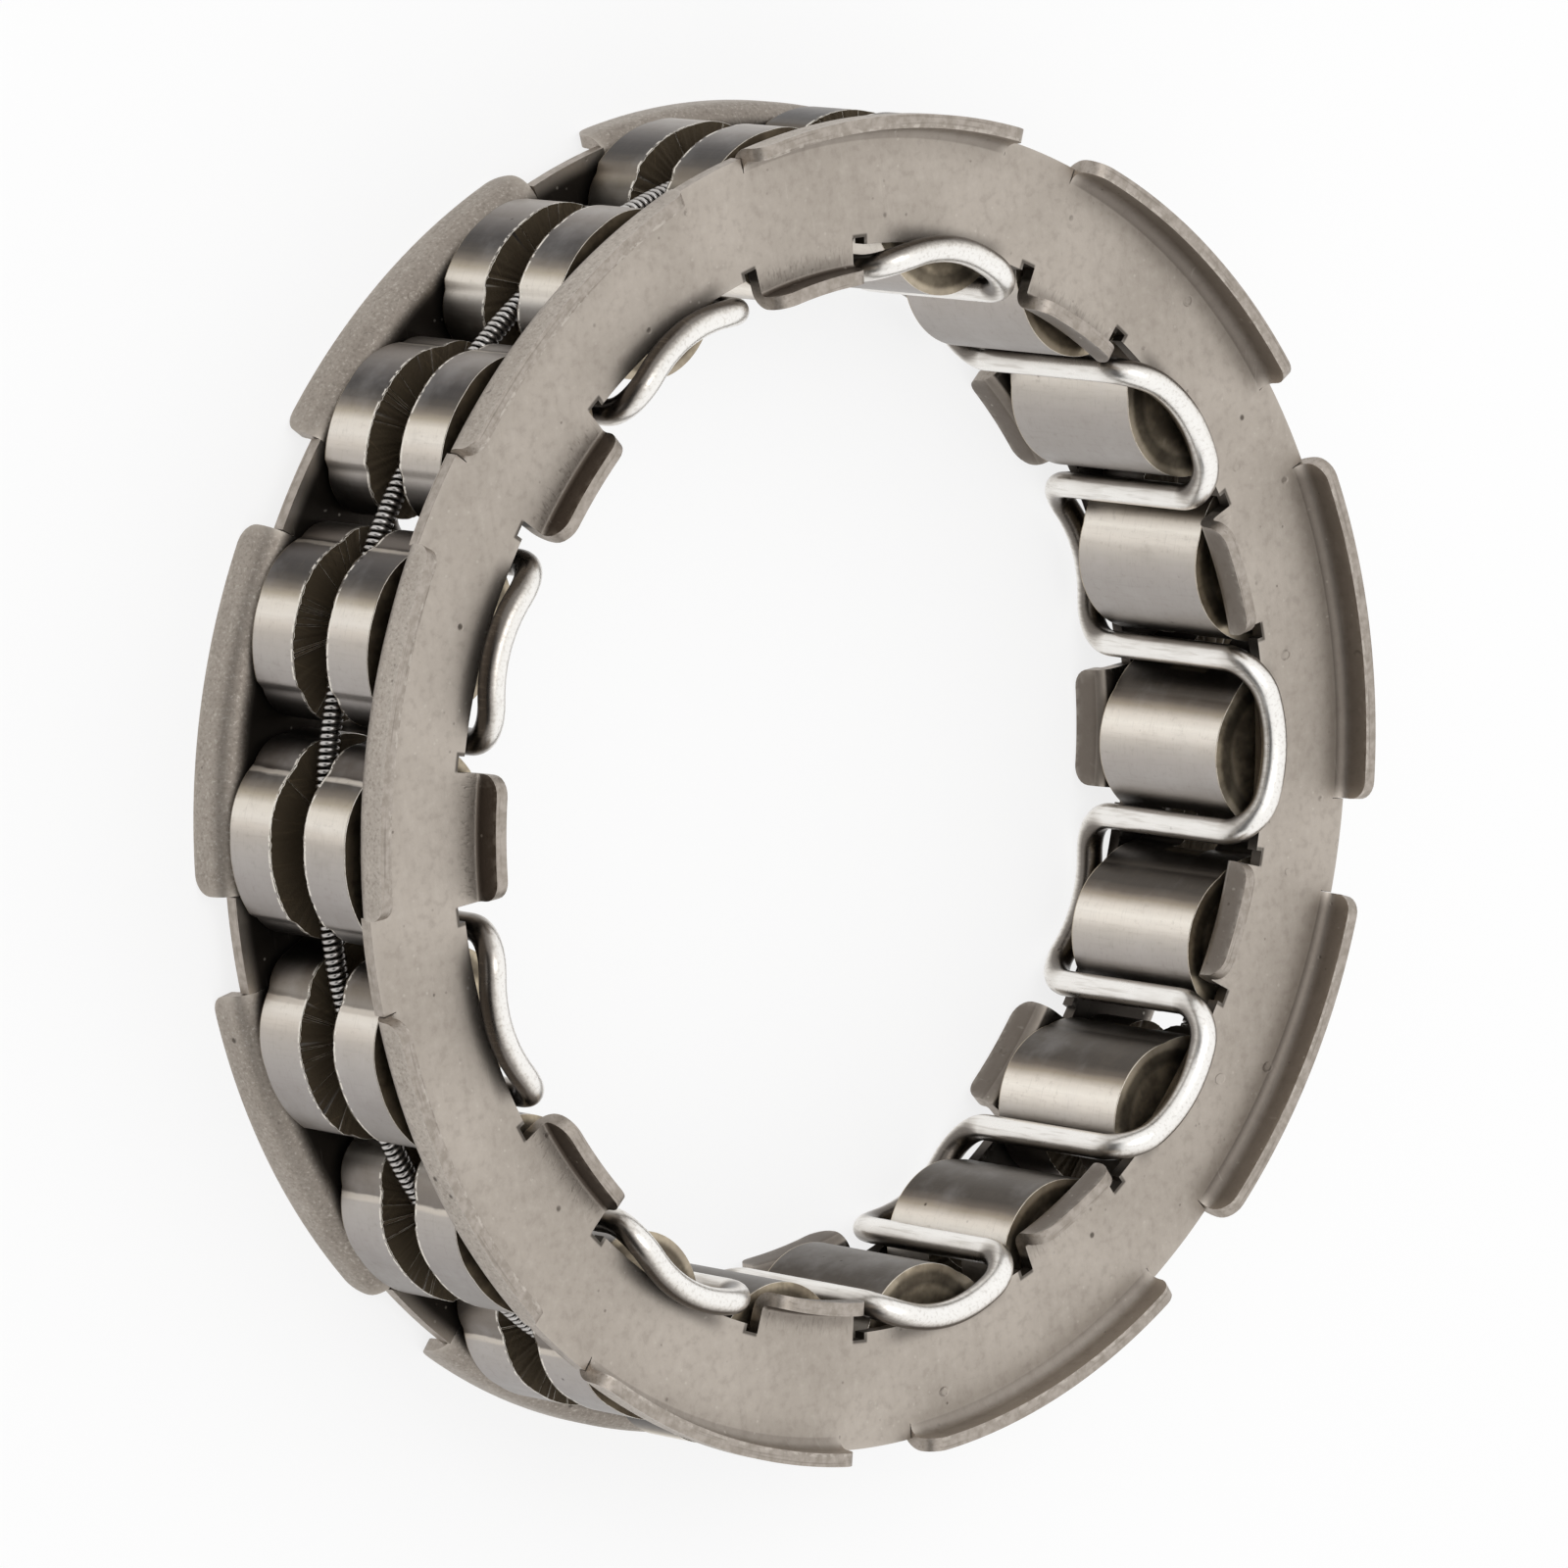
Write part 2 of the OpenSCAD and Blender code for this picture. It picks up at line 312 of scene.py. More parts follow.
def turned(f, outward, below):
    """How far round a bend a place lies, in degrees, and how far from the bend's centre line, in mm.

    The angle is 0 at the flat sheet and 90 on the tab; both values count from the bend's centre line."""
    outward, below = outward.at_least(0.0), below.at_least(0.0)
    near = (outward * outward + below * below) ** 0.5
    return f.maths("ARCTAN2", outward, below) * (180 / math.pi), near


def on_top(height):
    """1 on the side of the flat sheet that faces away from the sprags; the sheet is 5.18 to 5.93 mm up."""
    return height.rise(5.80, 5.90)


def tab_shades(f, x, radius, height, tab, side_shade):
    """Shares of painted shade, in brown, at an outer tab: hollow side of the bend, flat sheet before it,
    and outer face; stronger on the +x side of the ring.

    The second value returned is the outer face itself, for its coarser grain."""
    turn, near = turned(f, radius - (TAB_R - BEND_R), BEND_Z - height)
    hollow, back = tab * near.rise(1.15, 1.0), tab * near.rise(1.15, 1.3)
    # The painted shade is stronger on the +x side of the ring
    aside = (x / radius).rise(0.2, 0.72)
    fold = hollow * (turn.rise(0, 10) * (aside * 0.12 + 0.12) + turn.rise(0, 8) * turn.rise(75, 45) * 0.16)
    wide, narrow = radius.rise(34.3, 35.9), radius.rise(35.2, 35.9)
    near_fold = tab * on_top(height) * (wide * (aside * 0.16 + 0.07) + narrow * aside * 0.08)
    # Painted shade on the tab's outer face
    outside = back * turn.rise(1, 5) * turn.rise(90, 35) * side_shade
    return fold + near_fold + outside * 0.35, back * turn.rise(1, 5)


def lip_shades(f, radius, height, lip):
    """Shares of painted shade, in brown, at an inner tab: hollow side of the bend, flat sheet before it,
    and inner face.
    """
    turn, near = turned(f, (LIP_R + LIP_BEND_R) - radius, LIP_BEND_Z - height)
    fold = lip * near.rise(0.72, 0.5) * turn.rise(5, 40) * 0.72
    near_fold = lip * on_top(height) * radius.rise(30.0, 29.3) * 0.3
    face = lip * near.rise(0.75, 0.9) * turn.rise(5, 50) * 0.45
    return fold + near_fold + face


def loop_shadow(f, x, y, z, radius, height):
    """Where the wire's shadow is painted: 1 on the plate's face just outside the wire's loops, which stand
    at LOOP_AT and every 40 degrees.

    The lower plate is the upper one turned over about X, so there the angle is counted the other way."""
    spoke = f.maths("ARCTAN2", y * f.maths("SIGN", z), x) * (180 / math.pi)
    beside = f.maths("COSINE", (spoke - LOOP_AT) * (TABS * math.pi / 180)).rise(0.1, 0.6)
    return on_top(height) * beside * radius.rise(31.35, 30.5)


def plate_finish(name, shade_depth, side_shade):
    """Tumbled sheet steel: warm grey, fine grain, small pits and dents, with painted shade in the bends.

    The second number is how far the whole sheet goes to a darker tone, painted shade for the plate behind,
    and the third how strong the painted shade is on the side that faces the sprags and on the tabs' outer
    faces. The limits of each place are radii and heights in millimetres."""
    f = surface(name)
    x, y, z = f.axes()
    radius, height = (x * x + y * y) ** 0.5, abs(z)
    lip, edge, tab = f.attribute("lip"), f.attribute("edge"), f.attribute("tab")

    # Grain and the small marks of tumbling; the glints are painted highlights and the dark rims of the
    # dents painted shade
    clouds, fine, grain = f.noise(120, 3, 0.55), f.noise(1500, 3, 0.6), f.noise(5200, 3, 0.65)
    streaks = f.noise(1.0, 3, 0.6, f.stretched(1500, 110, 700))
    pits = f.cells(420).rise(0.095, 0.035) * f.noise(260, 1).rise(0.49, 0.6)
    specks = f.cells(1150).rise(0.13, 0.05) * f.noise(330).rise(0.52, 0.64)
    dashes = f.cells(1.0, f.stretched(560, 1000, 560)).rise(0.10, 0.04) * f.noise(240, 1).rise(0.54, 0.64)
    glints = f.cells(1300).rise(0.15, 0.06) * f.noise(210).rise(0.46, 0.58)
    from_dent = f.cells(1.0, f.stretched(300, 380, 300))
    dents = from_dent.rise(0.13, 0.10) * f.noise(190, 1).rise(0.50, 0.58)
    dent_rim_shade = from_dent.rise(0.06, 0.09) * dents * fine.rise(0.47, 0.56)
    lines = f.noise(1.0, 2, 0.5, f.stretched(5200, 300, 900)).rise(0.66, 0.80)
    ticks = f.noise(1.0, 2, 0.6, f.polar(x, y, z, 5.5, 1.4, 0.7)).rise(0.50, 0.70)
    coined = lip * radius.rise(30.3, 29.9) * radius.rise(29.0, 29.2) * ticks

    # Painted shade: in the bends, round the notches, the wire's painted shadow beside its loops, and on the
    # side that faces the sprags
    tab_shade_share, tab_face = tab_shades(f, x, radius, height, tab, side_shade)
    lip_shade_share = lip_shades(f, radius, height, lip)
    wire_shadow = loop_shadow(f, x, y, z, radius, height)
    beside_lip = lip.rise(0.05, 0.4) * lip.rise(0.91, 0.885)  # lip is 0.9 at the lip's side
    # Painted shade round the notches
    notch = beside_lip * radius.rise(29.95, 30.05) * radius.rise(30.75, 30.6)
    # Painted shade on the sheet's side that faces the sprags, inside the rim
    under = height.rise(5.40, 5.30) * radius.rise(RIM_R, 35.6) * side_shade

    bright = edge * fine.rise(0.42, 0.6) * 0.25 + lines * 0.15 + dashes * 0.3 + glints * 0.4
    colour = f.layered(
        f.mix(tone(177, 168, 158), tone(190, 181, 171), clouds.rise(0.3, 0.7)),
        (tone(150, 140, 131), fine.rise(0.48, 0.70) * 0.3 + streaks.rise(0.5, 0.75) * 0.12),
        (tone(204, 197, 187), streaks.rise(0.46, 0.25) * 0.1 + fine.rise(0.46, 0.3) * 0.2),
        (tone(112, 103, 93), shade_depth),
        (tone(86, 77, 69), (tab_shade_share + lip_shade_share).clamp()),
        (tone(112, 103, 93), tab_face * grain.rise(0.52, 0.66) * 0.35),
        (tone(216, 209, 199), tab_face * grain.rise(0.44, 0.32) * 0.35),
        (tone(58, 52, 46), (wire_shadow * 0.55 + notch * 0.8).clamp()),
        (tone(32, 27, 23), under),
        (tone(78, 70, 62), (pits * 0.8 + specks * 0.45 + coined * 0.2 + dent_rim_shade * 0.4).clamp()),
        (tone(210, 204, 194), bright.clamp()))
    rough = 0.46 + grain * 0.12 - edge * 0.1 + pits * 0.1
    relief = (grain * 0.008 + fine * 0.008 + dashes * 0.01
              - pits * 0.04 - specks * 0.02 - coined * 0.015 - dents * 0.03)
    return f.steel(colour, rough, f.bump(relief))


def cut_finish():
    """The sheared edge of the sheet: drag lines along it, a ragged bright burr that is partly a painted
    highlight, and painted shade on the notch walls.
    """
    f = surface("sheared_sheet_edge")
    x, y, z = f.axes()
    radius = (x * x + y * y) ** 0.5
    fine = f.noise(1800, 3, 0.6)
    shear = f.noise(1.0, 2, 0.6, f.polar(x, y, z, 5.0, 0.8, 0.8))
    drag = f.noise(1.0, 2, 0.5, f.polar(x, y, z, 0.22, 6.5, 6.5))
    ragged = f.noise(1.0, 2, 0.6, f.polar(x, y, z, 2.2, 3.0, 3.0)).rise(0.50, 0.60)
    # Painted shade in the notches
    notch = radius.rise(29.6, 29.9) * radius.rise(30.8, 30.6) * abs(z).rise(6.2, 6.0)
    # The burr along the tabs' tops, its brightness partly a painted highlight
    burr_line = radius.rise(36.30, 36.45) * radius.rise(36.70, 36.58) * abs(z).rise(7.0, 7.3)
    colour = f.layered(
        f.mix(tone(158, 149, 139), tone(182, 173, 164), fine.rise(0.3, 0.7)),
        (tone(118, 109, 99), f.noise(2600, 3, 0.7).rise(0.52, 0.74) * 0.2),
        (tone(96, 88, 79), drag.rise(0.56, 0.68) * 0.3),
        (tone(60, 54, 48), notch * 0.85),
        (tone(228, 221, 211), burr_line * ragged * 0.3))
    return f.steel(colour, 0.40 + fine * 0.14, f.bump(fine * 0.010 + shear * 0.006))


def sprag_end_colour(f, lift, side, sway):
    """The sprags' flat ends: sandy grey, with a rubbed arc round the foot's middle, and painted shade: a
    dark arc round it and a darker outer part, under the plate.
    """
    across, aside = lift - FOOT[0], side - FOOT[1]
    from_middle = (across * across + aside * aside) ** 0.5 + sway * 0.6
    low = lift.rise(32.5, 31.0)
    rubbed = f.noise(1.0, 1, 0.5, f.stretched(150, 150, 150)).rise(0.4, 0.6)
    dark_arc = from_middle.rise(3.1, 3.5) * from_middle.rise(4.3, 3.9) * 0.65 * low
    return f.layered(
        f.mix(tone(146, 134, 116), tone(196, 182, 158), f.noise(700, 3, 0.6).rise(0.35, 0.65)),
        (tone(50, 43, 36), (dark_arc + lift.rise(32.0, 34.0) * 0.6).clamp()),
        (tone(190, 178, 160), from_middle.rise(4.0, 4.25) * low * rubbed * 0.5))


def sprag_finish():
    """Ground cam steel: a painted light band across each cam, partly a painted reflection, grey flanks with
    painted shade, and a brown groove with grinding lines, partly painted shade.

    lift and side are the place in the sprag's own u and v, in millimetres; z runs along the sprag."""
    f = surface("ground_cam_steel")
    z = f.axes()[2]
    lift, side = f.attribute("lift"), f.attribute("side")
    clouds, fine = f.noise(260, 4, 0.6), f.noise(2600, 3, 0.65)
    grind = f.noise(1.0, 3, 0.6, f.stretched(9000, 9000, 260))
    brush = f.noise(1.0, 2, 0.6, f.stretched(5200, 5200, 500))
    scuffs = f.noise(1.0, 2, 0.6, f.combined(z * 9, side * 0.8, lift * 0.8))
    pits = f.cells(700).rise(0.10, 0.03) * f.noise(300, 1).rise(0.52, 0.64)
    sway = (f.noise(420, 3, 0.6) - 0.5) * 0.22 + (brush - 0.5) * 0.12

    # The cams, with their painted light bands, a painted dark shoulder and a painted highlight on the ridge
    # at the heel, and painted shade where the next sprag is near
    cams = f.ramp(f.attribute("cam") + sway, -6.5, 8.5, CAM_PAINTED_LIGHT_TONES)
    foot = f.ramp(f.attribute("foot") + sway, -4, 8, FOOT_PAINTED_LIGHT_TONES)
    heel, swayed = lift.rise(33.9, 34.5), side + sway
    ridge_highlight = heel * swayed.rise(-3.5, -3.4) * swayed.rise(-3.15, -3.3)
    sprag_gap_shade = side.rise(-3.0, -4.3) * lift.rise(31.0, 29.5) * 0.6 + side.rise(4.65, 5.35)
    colour = f.layered(
        f.mix(foot, cams, lift.rise(31.4, 32.6)),
        (tone(98, 90, 83), heel * swayed.rise(-3.2, -3.45) * 0.75),
        (tone(206, 197, 186), ridge_highlight),
        (tone(40, 35, 31), sprag_gap_shade.clamp() * 0.8),
        (tone(216, 213, 212), clouds.rise(0.45, 0.75) * 0.14),
        (tone(116, 106, 94), clouds.rise(0.42, 0.2) * 0.25 + scuffs.rise(0.56, 0.76) * 0.12),
        (tone(110, 98, 82), fine.rise(0.55, 0.75) * 0.14 + brush.rise(0.52, 0.7) * 0.05))

    # The flat ends, with painted shade; the groove, darkened partly by painted shade; and a painted
    # highlight on the chipped rim beside the groove
    groove = abs(z).rise(1.42, 1.38) * lift.rise(29.7, 29.9)
    ground = f.noise(1.0, 3, 0.6, f.combined(side * 6.5, lift * 0.35 + side, z * 0.4))
    chips = f.noise(2600, 2, 0.6).rise(0.42, 0.54)
    rim_highlight = abs(z).rise(1.60, 1.48) * abs(z).rise(1.40, 1.43) * lift.rise(32.5, 33.5) * chips
    colour = f.layered(
        colour,
        (sprag_end_colour(f, lift, side, sway), abs(z).rise(4.66, 4.72)),
        (f.mix(tone(84, 73, 57), tone(110, 96, 74), ground.rise(0.53, 0.82)), groove),
        (tone(236, 230, 220), rim_highlight * 0.9),
        (tone(60, 52, 44), pits * 0.8))
    rough = 0.32 + fine * 0.1 + clouds * 0.06 + groove * 0.2
    relief = grind * 0.004 + fine * 0.004 + brush * 0.004 - pits * 0.03 + groove * grind * 0.02
    return f.steel(colour, rough, f.bump(relief), 1 - groove * 0.35)


def burr_finish():
    """The thin bright burr along a sprag's edges; its brightness is partly a painted highlight."""
    f = surface("sprag_edge_burr")
    fine = f.noise(2400, 3, 0.7)
    colour = f.mix(tone(200, 192, 180), tone(240, 235, 226), fine.rise(0.35, 0.6))
    return f.steel(colour, 0.22 + fine * 0.15, f.bump(fine * 0.02))


def wire_finish():
    """Drawn bright wire: satin, faint draw lines and small nicks, with a painted highlight on one side and
    painted shade on the other, its edge made blotchy by a cloudy pattern.
    """
    f = surface("bright_drawn_wire")
    clouds, fine = f.noise(300, 3, 0.6), f.noise(3200, 3, 0.6)
    nicks = f.cells(520).rise(0.10, 0.03) * f.noise(340, 1).rise(0.5, 0.62)
    drawn = f.noise(1.0, 2, 0.6, f.stretched(5000, 5000, 420))
    round_it = f.attribute("inner") + (clouds - 0.5) * 0.25 + (drawn - 0.5) * 0.2
    colour = f.layered(
        f.ramp(round_it, -1, 1, WIRE_PAINTED_LIGHT_TONES),
        (tone(160, 150, 138), drawn.rise(0.5, 0.72) * 0.25),
        (tone(90, 82, 74), nicks * 0.7))
    relief = fine * 0.003 + clouds * 0.006 + drawn * 0.003 - nicks * 0.03
    return f.steel(colour, 0.22 + fine * 0.08 + clouds * 0.06, f.bump(relief))


def coil_finish():
    """Fine spring wire, with painted shade in the hollows between the turns."""
    f = surface("fine_spring_wire")
    fine = f.noise(900, 3, 0.6)
    colour = f.layered(
        f.mix(tone(172, 168, 164), tone(202, 199, 196), fine.rise(0.3, 0.7)),
        (tone(56, 51, 46), f.attribute("hollow") * 0.85))
    return f.steel(colour, 0.24 + fine * 0.1, f.bump(fine * 0.004))


def link_new(name, data):
    """A new object of the scene for the data."""
    made = bpy.data.objects.new(name, data)
    bpy.context.scene.collection.objects.link(made)
    return made


def new_piece(name, points, faces, materials, bodies, replaced, values):
    """A piece at the origin from points in millimetres; values are named numbers kept on its points."""
    mesh = bpy.data.meshes.new(name)
    mesh.from_pydata((points * MM).tolist(), [], [list(face) for face in faces])
    for key, numbers in values.items():
        mesh.attributes.new(key, "FLOAT", "POINT").data.foreach_set("value", numbers.astype(np.float32))
    for material in materials:
        mesh.materials.append(material)
    mesh.shade_smooth()
    piece = link_new(name, mesh)
    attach(piece, bodies)
    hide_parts(replaced)
    return piece


def quads(rows, columns, wrap_rows, wrap_columns):
    """Point numbers of the four-cornered faces of a grid, as an array of rows by columns by four."""
    i = np.arange(rows if wrap_rows else rows - 1)[:, None]
    j = np.arange(columns if wrap_columns else columns - 1)[None, :]
    below, beside = (i + 1) % rows, (j + 1) % columns
    corners = [i * columns + j, i * columns + beside, below * columns + beside, below * columns + j]
    return np.stack(corners, axis=-1)


def only_used(points, faces, values):
    """The points that the faces touch, with the faces and the named values to match."""
    used, renumbered = np.unique(faces, return_inverse=True)
    return points[used], renumbered.reshape(faces.shape), {key: v[used] for key, v in values.items()}


def soften(piece, width, angle):
    """A small round on every edge sharper than the angle, in millimetres and degrees."""
    bevel = piece.modifiers.new("edges", "BEVEL")
    bevel.width = width * MM
    bevel.segments = 2
    bevel.limit_method = "ANGLE"
    bevel.angle_limit = math.radians(angle)
    bevel.harden_normals = True
    return bevel


def corner_drop(distance, corner):
    """How far a round corner takes an edge back, from the distance to the side: a quarter circle."""
    x = np.clip(1 - distance / corner, 0, 1)
    return corner * (1 - np.sqrt(1 - x * x))


def corner_angles(corner, r):
    """Seven angles from a tab's side to where its round corner ends, closer together near the side."""
    return np.degrees(corner * (1 - np.cos(np.linspace(0, np.pi / 2, 7))) / r)


def plate_angles():
    """Angles of the grid lines within one tab's pitch, from -20 to 20 degrees about the tab's middle.

    They are the tabs' sides and corners, the slits and the notches, and one line per degree between."""
    tab_ends = TAB_HALF - corner_angles(TAB_CORNER, TAB_R)
    lip_ends = LIP_HALF - corner_angles(LIP_CORNER, LIP_R)
    slits = [TAB_HALF + SLIT, -TAB_HALF - SLIT]
    notches = [LIP_AT + LIP_HALF + NOTCH_ANGLE, LIP_AT - LIP_HALF - NOTCH_ANGLE]
    fixed = np.concatenate([tab_ends, -tab_ends, slits, LIP_AT + lip_ends, LIP_AT - lip_ends, notches])
    even = np.arange(-SPRAG_PITCH, SPRAG_PITCH, 1.0)
    even = even[np.abs(even[:, None] - fixed[None, :]).min(axis=1) > 0.3]
    return np.unique(np.round(np.concatenate([fixed, even]), 4))


def plate_points():
    """Middle surface of the upper side plate, on a grid of angle by distance along its section.

    The section runs from the top of an inner tab down its straight part, round a quarter bend, out across
    the flat ring, round the outer bend and up to the top of an outer tab. Where there is no tab the same
    grid lines stay on the flat ring, and the faces in the gaps, slits and notches are left out."""
    one = plate_angles()
    pitch = 2 * SPRAG_PITCH
    turn = np.concatenate([one + pitch * k for k in range(TABS)])
    local = np.tile(one, TABS)
    middle = (np.append(one[1:], one[0] + pitch) + one) / 2
    middle = np.tile(np.where(middle > SPRAG_PITCH, middle - pitch, middle), TABS)

    # Tabs and lips: which grid lines they hold, how far each line is from their sides, and their tops
    from_lip = np.abs(local - LIP_AT)
    is_tab, is_lip = np.abs(local) <= TAB_HALF + 0.01, from_lip <= LIP_HALF + 0.01
    tab_side = np.radians(np.maximum(TAB_HALF - np.abs(local), 0)) * TAB_R
    lip_side = np.radians(np.maximum(LIP_HALF - from_lip, 0)) * LIP_R
    tab_top = TAB_TOP - corner_drop(tab_side, TAB_CORNER)
    lip_top = LIP_TOP - corner_drop(lip_side, LIP_CORNER)

    # The section's rows: lip, lip's bend, flat sheet, tab's bend, tab
    straight_rows, bend_rows = 5, 8
    up = np.linspace(0, 1, straight_rows)[:, None]
    arc = np.radians(np.linspace(0, 90, bend_rows + 1))[1:, None]
    flat = np.array([EDGE_R, NOTCH_R, 32.0, 33.5, 35.0, 35.45, FLAT_R])[:, None]
    one_row = np.ones((1, len(local)))
    lip_z = LIP_BEND_Z + (lip_top - LIP_BEND_Z) * (1 - up)
    lip_bend_r = LIP_R + LIP_BEND_R * (1 - np.cos(arc))
    lip_bend_z = LIP_BEND_Z - LIP_BEND_R * np.sin(arc)
    tab_bend_r, tab_bend_z = FLAT_R + BEND_R * np.sin(arc), BEND_Z - BEND_R * np.cos(arc)
    rim_r = FLAT_R + (RIM_R - FLAT_R) * np.degrees(arc) / 90
    tab_z = BEND_Z + (tab_top - BEND_Z) * up[1:]
    r = np.concatenate([
        LIP_R * np.ones_like(lip_z), lip_bend_r * one_row, flat * one_row,
        np.where(is_tab, tab_bend_r * one_row, rim_r * one_row),
        np.where(is_tab, TAB_R, RIM_R) * np.ones_like(tab_z)])
    z = np.concatenate([
        lip_z, lip_bend_z * one_row, PLATE_Z * np.ones_like(flat) * one_row,
        np.where(is_tab, tab_bend_z * one_row, PLATE_Z), np.where(is_tab, tab_z, PLATE_Z)])
    a = np.radians(turn)[None, :]
    points = np.stack([r * np.cos(a), r * np.sin(a), z], axis=-1)

    # The faces that are kept, row by row
    rows = len(r)
    row = np.arange(rows - 1)[:, None]
    edge_row = straight_rows + bend_rows
    flat_end = edge_row + len(flat) - 1
    bend_end = flat_end + bend_rows
    off_lip, off_tab = np.abs(middle - LIP_AT), np.abs(middle)
    notch = np.abs(off_lip - LIP_HALF - NOTCH_ANGLE / 2) < NOTCH_ANGLE / 2
    slit = np.abs(off_tab - TAB_HALF - SLIT / 2) < SLIT / 2
    kept = np.select([row < edge_row, row == edge_row, row < flat_end, row < bend_end],
                     [off_lip < LIP_HALF, ~notch, True, ~slit], off_tab < TAB_HALF)
    faces = quads(rows, len(local), False, True)[np.broadcast_to(kept, (rows - 1, len(local)))]

    # Named values for the finish. edge is 1 at an edge and fades over about 0.22 mm. lip is 1 in the middle
    # of a lip, 0.9 at its sides, lower across the notches beside it and 0 elsewhere. tab rises from 0 at a
    # tab's sides to 1 at 0.9 mm from them.
    far = 9.0
    low = np.arange(rows)[:, None] < edge_row
    high = np.arange(rows)[:, None] >= flat_end
    from_top = np.where(high & is_tab, tab_top - z, np.where(low & is_lip, lip_top - z, far))
    from_side = np.where(high & is_tab, tab_side, np.where(low & is_lip, lip_side, far))
    from_rim = np.where(high & ~is_tab, RIM_R - r, far)
    from_edge = np.where(~low & ~is_lip, np.maximum(r - EDGE_R, 0), far)
    gap = np.minimum(np.minimum(from_top, from_side), np.minimum(from_rim, from_edge))
    lip_mask = np.clip(1.4 - from_lip / LIP_HALF * 0.5, 0, 1) * (from_lip < LIP_HALF + NOTCH_ANGLE + 0.01)
    tab_mask = np.clip(tab_side / 0.9, 0, 1) ** 0.7
    values = {"edge": np.exp(-gap / 0.22), "lip": np.broadcast_to(lip_mask, r.shape),
              "tab": np.broadcast_to(tab_mask, r.shape)}
    values = {key: v.astype(float).ravel() for key, v in values.items()}
    return only_used(points.reshape(-1, 3), faces, values)


def make_plate(name, node, flip, materials):
    """One side plate with the sheet's thickness and softened edges; flip turns it over about X."""
    points, faces, values = plate_points()
    if flip:
        points = points * np.array([1, -1, -1])
    plate = new_piece(name, points, faces, materials, "cage", node, values)
    wall = plate.modifiers.new("sheet", "SOLIDIFY")
    wall.thickness = SHEET * MM
    wall.offset = 0
    wall.use_even_offset = True
    wall.material_offset_rim = 1
    soften(plate, SHEET_ROUND, 40)


def reach(a, disc):
    """How far a ray at angle a from the sprag's middle runs until it leaves a disc, or 0 if it misses."""
    du, dv = disc[0] - SPRAG_U, disc[1] - SPRAG_V
    along = du * np.cos(a) + dv * np.sin(a)
    inside = along * along - du * du - dv * dv + disc[2] ** 2
    return np.where(inside > 0, along + np.sqrt(np.maximum(inside, 0)), 0)


def sprag_outline(a):
    """Distance from the sprag's middle to its outline and to its neck in the groove, at the angles a.

    The outline is the farthest of the four round parts and of the long cam, which ends at a slanting
    line on the toe side. The neck is the disc in the groove, and the outline again below its middle."""
    rest = np.max([reach(a, disc) for disc in (SHORT_CAM, HEEL, TOE, FOOT)], axis=0)
    toe_line = HEEL[0] + TOE_SLOPE * (LONG_CAM_END_V - SPRAG_V) - SPRAG_U
    line = toe_line / np.maximum(np.cos(a) + TOE_SLOPE * np.sin(a), 0.01)
    cam = np.minimum(reach(a, LONG_CAM), line)
    cam_u, cam_v = SPRAG_U + cam * np.cos(a), SPRAG_V + cam * np.sin(a)
    full = np.where((cam_v > HEEL[1]) & (cam_u > HEEL[0]), np.maximum(rest, cam), rest)
    beyond = 99
    ledge = np.where(np.cos(a) < -0.01, (NECK[0] - SPRAG_U) / np.minimum(np.cos(a), -0.01), beyond)
    disc = reach(a, NECK)
    return full, np.where(disc >= ledge, full, np.minimum(full, disc))


def make_sprag(index, materials):
    """One sprag: the outline carried along the clutch axis, with the groove cut in to the neck.

    Six rings of the same angles: end, groove side, neck, neck, groove side, end. Their matching points
    make the long faces and the groove's walls, and the groove's sides carry small seeded burrs."""
    a = np.radians(np.arange(0, 360, SPRAG_STEP))
    n = len(a)
    full, neck = sprag_outline(a)
    cut = full - neck > 0.02
    r = np.stack([full, full, neck, neck, full, full])
    u, v = SPRAG_U + r * np.cos(a), SPRAG_V + r * np.sin(a)
    ring_z = [-SPRAG_HALF, -GROOVE_HALF, -GROOVE_HALF, GROOVE_HALF, GROOVE_HALF, SPRAG_HALF]
    z = np.array(ring_z)[:, None] * np.ones(n)

    # A burr is a jagged part, different on the two sides, and a wavy part that both share
    draw = np.random.default_rng(100 + index)
    jagged = draw.normal(0, BURR_JAGGED, (4, n))
    rough_wave = draw.normal(0, BURR_WAVY, n + BURR_SPAN - 1)
    wavy = np.convolve(rough_wave, np.ones(BURR_SPAN) / BURR_SPAN, "valid") * 0.7
    z[1] += (jagged[0] + wavy) * cut
    z[4] += (jagged[1] + wavy) * cut
    turn = math.radians(SPRAG_PITCH * (index - 0.5))
    c, s = math.cos(turn), math.sin(turn)
    points = np.stack([u * c - v * s, u * s + v * c, z], axis=-1)

    # The groove has walls only where the neck lies inside the outline
    faces = quads(len(ring_z), n, False, True)
    wall = cut | np.roll(cut, -1)
    faces = np.concatenate([faces[0], faces[1][wall], faces[2], faces[3][wall], faces[4]])
    ends = [np.arange(n)[::-1], np.arange(n) + (len(ring_z) - 1) * n]
    values = {"side": v.ravel(), "lift": u.ravel(), "cam": v.ravel() - CAM_BANDS[index - 1],
              "foot": FOOT_BANDS[index - 1] - v.ravel()}
    name = f"sprag_{index:02d}"
    sprag = new_piece(name + "_cam", points.reshape(-1, 3), list(faces) + ends, materials,
                      name, name, values)
    weld(sprag)
    soften(sprag, SPRAG_ROUND, 42).material = 1


def weld(piece):
    """Joins the points that lie on each other."""
    work = bmesh.new()
    work.from_mesh(piece.data)
    bmesh.ops.remove_doubles(work, verts=work.verts, dist=0.002 * MM)
    work.to_mesh(piece.data)
    work.free()


